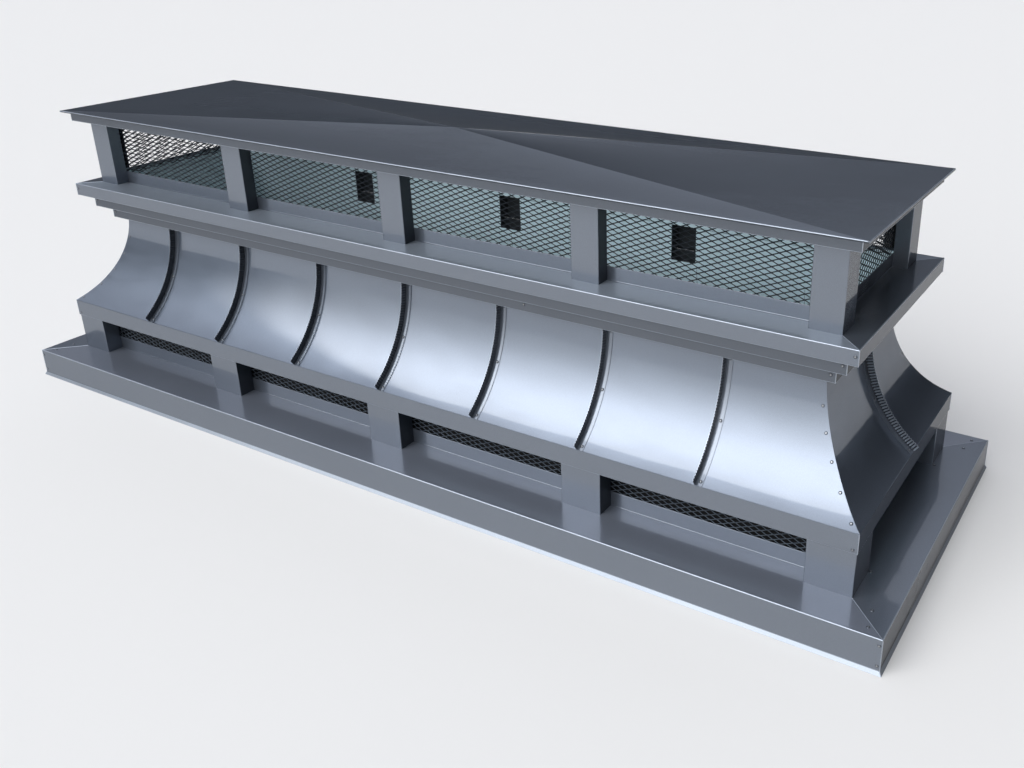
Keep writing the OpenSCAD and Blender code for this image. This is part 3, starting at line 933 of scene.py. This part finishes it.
def crimped_rib():
    """A grid drawn along the curve and across the angle, crimped on its leg."""
    tree, given = geometry_tree("crimped_rib", {
        "Ribs": 7, "Spacing": PANEL_WIDTH, "Radius": FLARE_RADIUS, "Head Angle": HEAD_ANGLE,
        "Foot Angle": FOOT_ANGLE, "Leg": RIB_HEIGHT, "Flange": RIB_FLANGE, "Crimps": CRIMPS,
        "Crimp Depth": CRIMP_DEPTH, "Joggle": JOGGLE, "Joggle At": JOGGLE_AT}, whole=("Ribs",))
    geo, calc = maker(tree, "GeometryNode"), calculator(tree)
    girth = calc("ADD", given["Leg"], given["Flange"])
    grid = geo("MeshGrid", {
        "Size X": 1.0, "Size Y": girth, "Vertices X": RIB_STEPS[0], "Vertices Y": RIB_STEPS[1]})
    where = place_of(tree)
    along = calc("ADD", where["X"], 0.5)
    across = calc("MULTIPLY_ADD", girth, 0.5, where["Y"])
    tall = calc("MAXIMUM", calc("SUBTRACT", given["Leg"], across), 0.0)
    wide = calc("MAXIMUM", calc("SUBTRACT", across, given["Leg"]), 0.0)
    wave = calc("SINE", calc("MULTIPLY", calc("MULTIPLY", along, given["Crimps"]), 2 * math.pi))
    folded = calc("MAXIMUM", calc("MINIMUM", calc("MULTIPLY", wave, CRIMP_SQUARENESS), 1.0), -1.0)
    share = calc("POWER", calc("DIVIDE", tall, given["Leg"]), CRIMP_SPREAD)
    crimp = calc("MULTIPLY", calc("MULTIPLY", folded, share), given["Crimp Depth"])
    lift = given_by(tree, "ShaderNodeMapRange", {
        "Value": wide, "From Min": given["Joggle At"],
        "From Max": calc("ADD", given["Joggle At"], JOGGLE_RUN),
        "To Max": given["Joggle"]}, interpolation_type="SMOOTHSTEP")
    radius = calc("SUBTRACT", calc("SUBTRACT", given["Radius"], tall),
                  calc("SUBTRACT", FLANGE_STAND, lift))
    spread = calc("SUBTRACT", given["Foot Angle"], given["Head Angle"])
    angle = calc("MULTIPLY_ADD", along, spread, given["Head Angle"])
    spot = point_at(tree, X=calc("ADD", wide, crimp),
                    Y=calc("MULTIPLY", radius, calc("COSINE", angle)),
                    Z=calc("MULTIPLY", calc("MULTIPLY", radius, -1.0), calc("SINE", angle)))
    rib = geo("SetPosition", {"Geometry": grid, "Position": spot})
    reach = calc("MULTIPLY", given["Spacing"], calc("SUBTRACT", given["Ribs"], 1.0))
    seam_line = geo("MeshLine", {
        "Count": given["Ribs"], "Start Location": point_at(tree, X=calc("MULTIPLY", reach, -0.5)),
        "Offset": point_at(tree, X=given["Spacing"])})
    ribs = geo("InstanceOnPoints", {"Points": seam_line, "Instance": rib})
    close_tree(tree, ribs, slate_coat)
    return tree


RIB_TREE = crimped_rib()
# the slots of a rib's finishes; the leg takes the painted shade, the outer crests of its crimps a
# lighter painted half shade on the long sides and the painted highlight on the ends, and the free
# edge the painted highlight
FLANGE, LEG, FREE, RIDGE = 0, 1, 2, 3


def rib_finish(mesh, face, depth):
    """The slot of a face of a rib, from its place on the flange or the leg."""
    middle = sum((mesh.vertices[k].co for k in face), Vector()) / len(face)
    drop = FLARE_RADIUS - math.hypot(middle.y, middle.z)
    if drop > RIB_HEIGHT - FREE_EDGE:
        return FREE
    if drop < FOLD_REACH:
        return FLANGE
    return RIDGE if middle.x > RIB_SHEET / 2 + RIDGE_SHARE * depth else LEG


def add_ribs(sheets, side, count, depth, middle=0.0, way=1):
    """Ribs on a side; way is -1 where the flanges lie the other way."""
    mesh = grown("ribs", RIB_TREE, {"Ribs": count, "Crimp Depth": depth}, solid=RIB_SHEET)
    points = [on_side(side, middle + way * (v.co.x - RIB_LEAD), FLARE_CENTRE_IN + v.co.y,
                      FLARE_CENTRE_Z + v.co.z) for v in mesh.vertices]
    faces = [tuple(p.vertices)[::way] for p in mesh.polygons]
    sheets.add(points, faces, [rib_finish(mesh, face, depth) for face in faces])


for side in LONG:
    ribs = Sheets()
    add_ribs(ribs, side, 7, CRIMP_DEPTH)
    finish_piece("crimped_ribs_" + side, ribs, [slate_coat, painted_shade_coat, painted_highlight_coat, painted_half_shade_coat],
                 ["seam_ribs_" + side], sharp=50)
end_ribs = Sheets()
for side in SHORT:
    add_ribs(end_ribs, side, 1, END_CRIMP_DEPTH, middle=END_SEAM, way=-1)
finish_piece("crimped_ribs_ends", end_ribs, [slate_coat, painted_shade_coat, painted_highlight_coat, painted_highlight_coat],
             ["seam_ribs_ends"], sharp=50)

# Cornice: two folded angles, one standing out past the other over the head of
# the flared panels. Each has a face and a return along its foot.
LOWER_STEP_IN = 0.2049
UPPER_STEP_IN = 0.1739
UPPER_WALL_IN = 0.2329
STEP_HEIGHT = 0.038
STEP_CLEARANCE = 0.0003
STEP_BEND = BEND * 0.7
LOWER_STEP_FOOT = 0.503
UPPER_STEP_FOOT = 0.541

# painted shade: a darker copy of the slate coat for the cornice steps and the top rail, which
# stand under overhangs
painted_shade_step_coat = coated("painted_shade_step_coat", tones=((0.110, 0.125, 0.148), (0.126, 0.142, 0.168)),
                   metallic=0.72, roughness=0.34, coat=0.30, edge=0.05, Marks=0.03, Waviness=0.7)
STEP_FINISHES = [painted_shade_step_coat, painted_shade_inside, painted_highlight_coat]

for level, inset, foot, reach in (("lower_step", LOWER_STEP_IN, LOWER_STEP_FOOT, UPPER_WALL_IN),
                                  ("upper_step", UPPER_STEP_IN, UPPER_STEP_FOOT, LOWER_STEP_IN)):
    step_path = bent_path([(reach, foot), (inset, foot),
                           (inset, foot + STEP_HEIGHT - STEP_CLEARANCE)], [STEP_BEND])
    for side in LONG:
        step = Sheets()
        step.strip(side, step_path)
        step.corner_rolls(side, step_path)
        finish_piece(level + "_angle_" + side, step, STEP_FINISHES, [level + "_" + side])
    step_ends = Sheets()
    for side in ("right", "left"):
        step_ends.strip(side, step_path)
    finish_piece(level + "_angle_ends", step_ends, STEP_FINISHES, [level + "_ends"])

# Upper tray: a formed fascia, flat top and hemmed curb. The curb is the top of
# an inner wall that runs down to the flared panels, and it is notched where
# the posts pass through.
TRAY_IN = 0.1429
TRAY_FOOT = 0.579
TRAY_TOP = 0.615
UPPER_CURB_TOP = 0.649
UPPER_CURB_FOLD = 0.0014
UPPER_CURB_HEM = 0.008
UPPER_FOLD_BEND = 0.0006
NOTCH_FOOT = 0.517
UPPER_POST_WIDTH = 0.073
UPPER_POST_DEPTH = 0.037
UPPER_POST_IN = 0.1959
UPPER_PITCH = (BASE_LENGTH - 2 * UPPER_POST_IN - UPPER_POST_WIDTH) / 4
WALL_SHEET = 0.001
WALL_HEAD = TRAY_TOP - WALL_SHEET

# painted light: a lighter copy of the coat on the tray's long flat tops
painted_light_tray_top = coated("painted_light_tray_top", tones=((0.270, 0.303, 0.350), (0.320, 0.360, 0.415)),
                    metallic=0.42, roughness=0.34, coat=0.34, edge=0.05, Marks=0.08, Waviness=0.7)

tray_path = bent_path([(UPPER_STEP_IN, TRAY_FOOT), (TRAY_IN, TRAY_FOOT), (TRAY_IN, TRAY_TOP),
                       (UPPER_WALL_IN, TRAY_TOP), (UPPER_WALL_IN, UPPER_CURB_TOP),
                       (UPPER_WALL_IN + UPPER_CURB_FOLD, UPPER_CURB_TOP),
                       (UPPER_WALL_IN + UPPER_CURB_FOLD, UPPER_CURB_TOP - UPPER_CURB_HEM)],
                      [STEP_BEND, BEND, BEND, UPPER_FOLD_BEND, UPPER_FOLD_BEND])


def wall_panel(sheets, side, x0, x1, z0, z1):
    """A flat part of the inner wall: painted outside, back coat inside."""
    corners = []
    for inset in (UPPER_WALL_IN, UPPER_WALL_IN + WALL_SHEET):
        limit = half_length(side) - inset
        a, b = max(-limit, x0), min(limit, x1)
        corners += [on_side(side, x, inset, z) for x, z in ((a, z0), (b, z0), (b, z1), (a, z1))]
    faces = [(0, 1, 2, 3), (7, 6, 5, 4), (0, 4, 5, 1), (1, 5, 6, 2), (2, 6, 7, 3), (3, 7, 4, 0)]
    sheets.add(corners, faces, [FACE, BACK, FACE, FACE, FACE, FACE])


for side in SIDES:
    tray = Sheets()
    # the long trays take the painted light on their flat tops
    tray.strip(side, tray_path, top=EXTRA if side in LONG else FACE)
    end = 2 * half_length(side)
    wall_panel(tray, side, -end, end, LOWER_STEP_FOOT, NOTCH_FOOT)
    edges = []
    if side in LONG:
        tray.corner_rolls(side, tray_path)
        edges = [k * UPPER_PITCH + way * UPPER_POST_WIDTH / 2 for k in (-1, 0, 1)
                 for way in (-1, 1)]
    edges = [-end] + edges + [end]
    for a, b in zip(edges[::2], edges[1::2]):
        wall_panel(tray, side, a, b, NOTCH_FOOT, WALL_HEAD)
    finish_piece("tray_sheet_" + side, tray, PAINTED + [painted_light_tray_top], ["upper_tray_" + side])

# Upper posts: channels and corner covers that pass down through the tray and
# carry the top rail.
UPPER_POST_FOOT = 0.5428
UPPER_POST_TOP = 0.8027

UPPER_POST = (UPPER_POST_IN, UPPER_POST_WIDTH, UPPER_POST_DEPTH)
corner_posts("upper_corner_covers", *UPPER_POST, TRAY_TOP, UPPER_POST_TOP, "upper_corner_posts")
for side in LONG:
    middle_posts("upper_channels_" + side, side, UPPER_PITCH, *UPPER_POST, UPPER_POST_FOOT,
                 UPPER_POST_TOP, "upper_posts_" + side)

# Upper screens: the same expanded steel in one length to a side, held between
# the curb and the rail. These strands get no painted light on their upper faces.
UPPER_SCREEN_IN = 0.2372
UPPER_SCREEN_Z = (0.630, 0.827)
UPPER_SCREEN_REACH = (1.125, 0.212)
for side in LONG:
    stretched_screen("upper_mesh_" + side, [side], UPPER_SCREEN_REACH[0], UPPER_SCREEN_IN,
                     UPPER_SCREEN_Z, ["upper_screen_" + side], lit_top=0)
stretched_screen("upper_mesh_ends", SHORT, UPPER_SCREEN_REACH[1], UPPER_SCREEN_IN,
                 UPPER_SCREEN_Z, ["upper_screens_ends"], lit_top=0)

# Top rail: a formed band on the heads of the posts, with a soffit turned in
# along its foot.
RAIL_IN = 0.1619
RAIL_FOOT = 0.803
RAIL_TOP = 0.8325
SOFFIT_IN = 0.2335

rail_path = bent_path([(SOFFIT_IN, RAIL_FOOT), (RAIL_IN, RAIL_FOOT), (RAIL_IN, RAIL_TOP)],
                      [STEP_BEND])
for side in SIDES:
    rail = Sheets()
    rail.strip(side, rail_path)
    if side in LONG:
        rail.corner_rolls(side, rail_path)
    finish_piece("rail_band_" + side, rail, [painted_shade_step_coat, back_coat, painted_highlight_coat],
                 ["top_rail_" + side])

# Roof: four low slopes that meet at a peak. The end slopes lap over the long
# ones at the hips, and the eave is folded down and kicked out as a drip edge.
ROOF_IN = 0.1419
EAVE = 0.8330
EAVE_RISE = 0.0010
EAVE_FLAT = 0.02
ROOF_RISE = 0.0014
LIP_FOOT = 0.8297
LIP_SET = (0.0012, 0.0004)
LIP_BEND = 0.0016
LIP_STRETCHES = 2
PEAK = 0.8560
ROOF_SHEET = 0.0009
ROOF_STEPS = (24, 40)
ROOF_SAG = 0.0035
HIP_EDGE_RADIUS = 0.0007
HIP_EDGE_SINK = 0.0006

for side in SIDES:
    half, run = half_length(side) - ROOF_IN, skirt_distance(side) - ROOF_IN
    slope = (PEAK - EAVE) / run
    eave = bent_path([(LIP_SET[0], LIP_FOOT), (LIP_SET[1], EAVE + EAVE_RISE),
                      (EAVE_FLAT, EAVE + ROOF_RISE + EAVE_FLAT * slope)], [LIP_BEND])
    rows = eave[:-1]
    for k in range(ROOF_STEPS[0] + 1):
        inset = EAVE_FLAT + (run - EAVE_FLAT) * k / ROOF_STEPS[0]
        rows.append(Vector((inset, EAVE + ROOF_RISE + slope * inset)))
    across = ROOF_STEPS[1]
    points = []
    for row in rows + shifted(rows, ROOF_SHEET):
        share = max(0.0, 1 - max(0.0, row.x) / run)
        for k in range(across + 1):
            u = 2 * k / across - 1
            sag = ROOF_SAG * math.sin(math.pi * min(1.0, share)) * (1 - u * u)
            points.append(on_side(side, half * share * u, ROOF_IN + row.x, row.y - sag))
    roof = Sheets()
    # the eave lip's lower stretches take the painted shade and its bend the painted highlight
    roof.skin(points, across + 1,
              lambda i: EXTRA if i < LIP_STRETCHES else EDGE if i < len(eave) - 2 else FACE,
              turned_over=True)
    if side in LONG:
        for end in (-1, 1):
            roof.roll([on_side(side, end * half * (1 - row.x / run), ROOF_IN + row.x,
                               row.y - HIP_EDGE_SINK) for row in rows[LIP_STRETCHES:]],
                      HIP_EDGE_RADIUS)
    finish_piece("roof_sheet_" + side, roof, PAINTED + [painted_shade_coat], ["roof_panel_" + side],
                 sharp=40)

# Pop rivets: painted dome heads with the bright end of a steel mandrel in the
# middle of each. They close the corners, the hips and the rib flanges.
RIVET_RADIUS = 0.0042
RIVET_HEIGHT = 0.0019
MANDREL_SHARE = 0.42
MANDREL_HEIGHT = 0.5
MANDREL_LIFT = 0.85

mandrel_steel = coated("mandrel_steel", tones=((0.42, 0.42, 0.43), (0.30, 0.30, 0.31)),
                       metallic=1.0, roughness=0.35, coat=0.0, Flake=0.2, Marks=0.1, Waviness=0.0,
                       Peel=2.0)


def rivet_tree():
    """A flattened dome and a mandrel end on each point, turned to face outwards."""
    tree, given = geometry_tree("rivets",
                                {"Head Radius": RIVET_RADIUS, "Head Height": RIVET_HEIGHT})
    geo, calc = maker(tree, "GeometryNode"), calculator(tree)
    squash = point_at(tree, X=1.0, Y=1.0,
                      Z=calc("DIVIDE", given["Head Height"], given["Head Radius"]))
    raised = point_at(tree, Z=calc("MULTIPLY", given["Head Height"], MANDREL_LIFT))
    dome = geo("MeshUVSphere", {"Segments": 14, "Rings": 8, "Radius": given["Head Radius"]})
    dome = geo("Transform", {"Geometry": dome, "Scale": squash})
    # the dome takes the painted half shade, darker than the slate round it
    dome = geo("SetMaterial", {"Geometry": dome, "Material": painted_half_shade_coat})
    pin = geo("MeshCylinder", {
        "Vertices": 10, "Radius": calc("MULTIPLY", given["Head Radius"], MANDREL_SHARE),
        "Depth": calc("MULTIPLY", given["Head Height"], MANDREL_HEIGHT)})
    pin = geo("Transform", {"Geometry": pin, "Translation": raised})
    pin = geo("SetMaterial", {"Geometry": pin, "Material": mandrel_steel})
    head = place(tree, "GeometryNodeJoinGeometry", {"Geometry": dome})
    tree.links.new(pin, head.inputs[0])
    facing = place(tree, "GeometryNodeInputNamedAttribute", {"Name": "facing"},
                   data_type="FLOAT_VECTOR").outputs["Attribute"]
    way = given_by(tree, "FunctionNodeAlignRotationToVector", {"Vector": facing}, axis="Z")
    heads = geo("InstanceOnPoints", {
        "Points": given["Geometry"], "Instance": head.outputs[0], "Rotation": way})
    close_tree(tree, heads)
    return tree


rivet_spots, rivet_facing = [], []


def rivet(side, along, inset, height, facing):
    """Notes a rivet; facing is given as along, outward and up."""
    rivet_spots.append(on_side(side, along, inset, height))
    rivet_facing.append((*turned(side, facing[0], -facing[1]), facing[2]))


def flare_rivet(side, along, angle, radius=FLARE_RADIUS):
    """A rivet on the flared panels; along is a function of the set-back."""
    inset, z = flare_point(angle, radius)
    rivet(side, along(inset), inset, z, (0, math.cos(angle), math.sin(angle)))


OUTWARD = (0, 1, 0)
UPWARD = (0, 0, 1)
# rivets near the corners: distance from the mitre's foot, set-back, height and facing
CORNER_RIVETS = [(0.0065, 0, 0.0697, OUTWARD), (0.0065, 0, 0.0205, OUTWARD),
                 (0.014, 0.024, PAN_TOP, UPWARD), (0.011, FASCIA_IN, 0.2025, OUTWARD),
                 (0.011, LOWER_STEP_IN, 0.5205, OUTWARD),
                 (0.0095, UPPER_STEP_IN, 0.5606, OUTWARD), (0.0075, TRAY_IN, 0.600, OUTWARD)]
HIP_RIVET_IN = 0.0095
HIP_RIVET_HEIGHTS = (0.253, 0.291, 0.336, 0.385, 0.437)
STEP_RIVET = (0.389, LOWER_STEP_IN, 0.5216)
RIB_RIVET_SHARES = (0.035, 0.5, 0.965)
RIB_RIVET_OUT = 0.0045
# the pan's mitres on the short sides: distance from the corner and set-back
END_PAN_RIVETS = ((0.077, 0.047), (0.201, 0.090))
for side in LONG:
    half = half_length(side)
    for end in (-1, 1):
        for gap, inset, height, facing in CORNER_RIVETS:
            rivet(side, end * (half - inset - gap), inset, height, facing)
        for height in HIP_RIVET_HEIGHTS:
            angle = math.asin((FLARE_CENTRE_Z - height) / FLARE_RADIUS)
            flare_rivet(side, lambda inset: end * (half - inset - HIP_RIVET_IN), angle)
    rivet(side, *STEP_RIVET, OUTWARD)
for side in SIDES:
    if side in LONG:
        seams = [k * PANEL_WIDTH + RIB_RIVET_OUT for k in range(-3, 4)]
    else:
        seams = [END_SEAM - RIB_RIVET_OUT]
    for seam in seams:
        for share in RIB_RIVET_SHARES:
            flare_rivet(side, lambda inset: seam, flare_angle(share), FLARE_RADIUS - FLANGE_STAND)
for end in (-1, 1):
    for side in ("right", "left"):
        for gap, inset in END_PAN_RIVETS:
            rivet(side, end * (half_length(side) - gap), inset, PAN_TOP, UPWARD)

rivets_mesh = grown("rivets", rivet_tree(), {}, rivet_spots, rivet_facing)
rivets_mesh.shade_smooth()
rivets_mesh.set_sharp_from_angle(angle=math.radians(40))
rivets = set_up("pop_rivets", rivets_mesh)
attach(rivets, "root")

bpy.context.view_layer.update()
